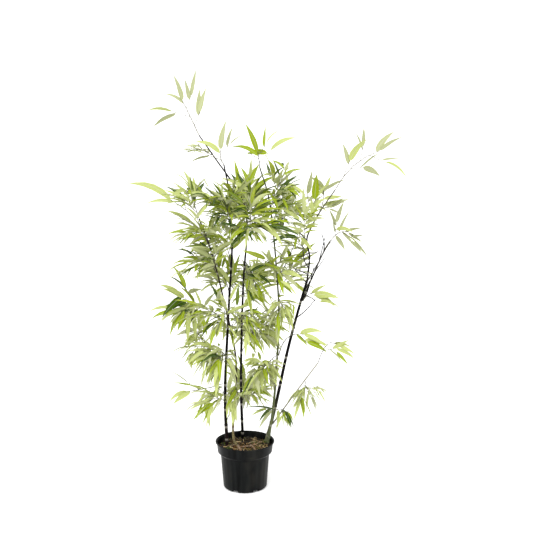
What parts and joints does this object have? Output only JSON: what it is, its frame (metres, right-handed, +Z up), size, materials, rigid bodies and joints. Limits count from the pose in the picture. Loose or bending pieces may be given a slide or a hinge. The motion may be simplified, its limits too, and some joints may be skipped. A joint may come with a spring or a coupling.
{
  "type": "potted bamboo",
  "caption": "Clump of black-stemmed bamboo with arching leafy sprays, growing in a round black plastic nursery pot filled with compost.",
  "frame": {"origin": "middle of the flat underside of the pot, on the ground", "axes": "+Z up the plant, +X to its right as seen from the front, +Y away from the front"},
  "size_m": [0.8684, 0.4968, 1.3338],
  "materials": {
    "pot_plastic": "satin moulded plastic with faint upright flow marks",
    "compost": "rough, damp bark compost",
    "cane_black": "satin, waxy black bark with pale rings at the nodes",
    "cane_green": "satin young cane",
    "cane_brown": "satin, half-ripened cane",
    "twig": "satin",
    "leaf": "satin leaf, paler below"
  },
  "bodies": {
    "root": {"pot": "pot_plastic", "soil": "compost", "cane_left": "cane_black", "cane_rear": "cane_black", "cane_thin": "cane_brown", "cane_right": "cane_green", "cane_leaning": "cane_black", "branch_upright": "cane_black", "branch_right": "cane_black", "branch_low": "cane_black", "bough_crown_back": "twig", "bough_crown_front": "twig", "bough_long_left": "twig", "bough_left_long": "twig", "bough_left_low": "twig", "bough_right_low": "twig", "bough_lean_right": "twig", "leaves_top": "leaf", "leaves_top_low": "leaf", "leaves_peak_left": "leaf", "leaves_peak_right": "leaf", "leaves_crown_left": "leaf", "leaves_crown_middle": "leaf", "leaves_crown_right": "leaf", "leaves_crown_far": "leaf", "leaves_crown_back": "leaf", "leaves_crown_front": "leaf", "leaves_upper_left": "leaf", "leaves_long_left": "leaf", "leaves_left_high": "leaf", "leaves_left_back": "leaf", "leaves_left_fan": "leaf", "leaves_left_rear": "leaf", "leaves_left_long": "leaf", "leaves_left_front": "leaf", "leaves_left_low": "leaf", "leaves_low_front": "leaf", "leaves_low_left": "leaf", "leaves_foot_left": "leaf", "leaves_mid_front": "leaf", "leaves_foot_front": "leaf", "leaves_mid_back": "leaf", "leaves_mid_star": "leaf", "leaves_foot_back": "leaf", "leaves_heart_back": "leaf", "leaves_heart_front": "leaf", "leaves_right_front": "leaf", "leaves_right_back": "leaf", "leaves_right_mid": "leaf", "leaves_right_low": "leaf", "leaves_branch_foot": "leaf", "leaves_branch_mid": "leaf", "leaves_branch_end": "leaf", "leaves_lean_right": "leaf", "leaves_arch_right": "leaf", "leaves_far_front": "leaf", "leaves_far_back": "leaf", "leaves_far_peak": "leaf", "leaves_far_upright": "leaf", "leaves_far_right": "leaf"}
  },
  "joints": []
}
